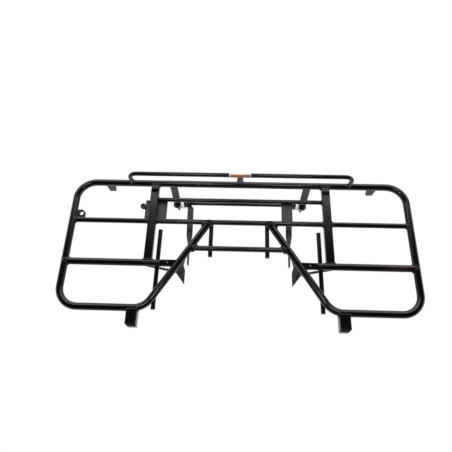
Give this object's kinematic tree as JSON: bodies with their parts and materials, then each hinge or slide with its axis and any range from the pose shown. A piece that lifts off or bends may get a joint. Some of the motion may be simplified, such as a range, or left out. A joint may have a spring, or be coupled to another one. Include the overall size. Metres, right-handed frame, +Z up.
{
  "type": "rear luggage rack",
  "caption": "Welded steel-tube rear luggage rack for a quad bike, with a raised back rail, a cut-out at the seat and stays that bolt to the frame.",
  "frame": {"origin": "midway between the two frame bolt holes, on the underside of the mount plates", "axes": "+X across the vehicle to its right, as seen facing the rear from the seat; +Y to the rear of the vehicle; +Z up"},
  "size_m": [1, 0.4417, 0.2053],
  "materials": {
    "tube": "gloss black powder coat",
    "brackets": "satin black powder coat",
    "fasteners": "black zinc",
    "zinc": "bright zinc plate"
  },
  "bodies": {
    "root": {"deck_tube": "tube", "mid_tube_centre": "tube", "mid_tube_right": "tube", "mid_tube_left": "tube", "centre_tube": "tube", "low_tube_right": "tube", "low_tube_left": "tube", "box_rail_right": "tube", "box_rail_left": "tube", "tie_rod": "tube", "outer_rod_right": "tube", "outer_rod_left": "tube", "inner_rod_right": "tube", "inner_rod_left": "tube", "raised_rail": "tube", "raised_post": "tube", "front_stub_right": "tube", "front_stub_left": "tube", "rear_tab_right": "brackets", "rear_tab_left": "brackets", "rear_leg_right": "brackets", "rear_leg_left": "brackets", "foot_plates": "zinc", "foot_bolts": "fasteners", "stay_tube": "tube", "stay_right": "brackets", "stay_left": "brackets", "mount_plate_right": "brackets", "mount_plate_left": "brackets", "brace_right": "tube", "brace_left": "tube", "flag_tab": "tube", "bracket_sheet_left": "brackets", "bracket_sheet_right": "brackets"}
  },
  "joints": []
}
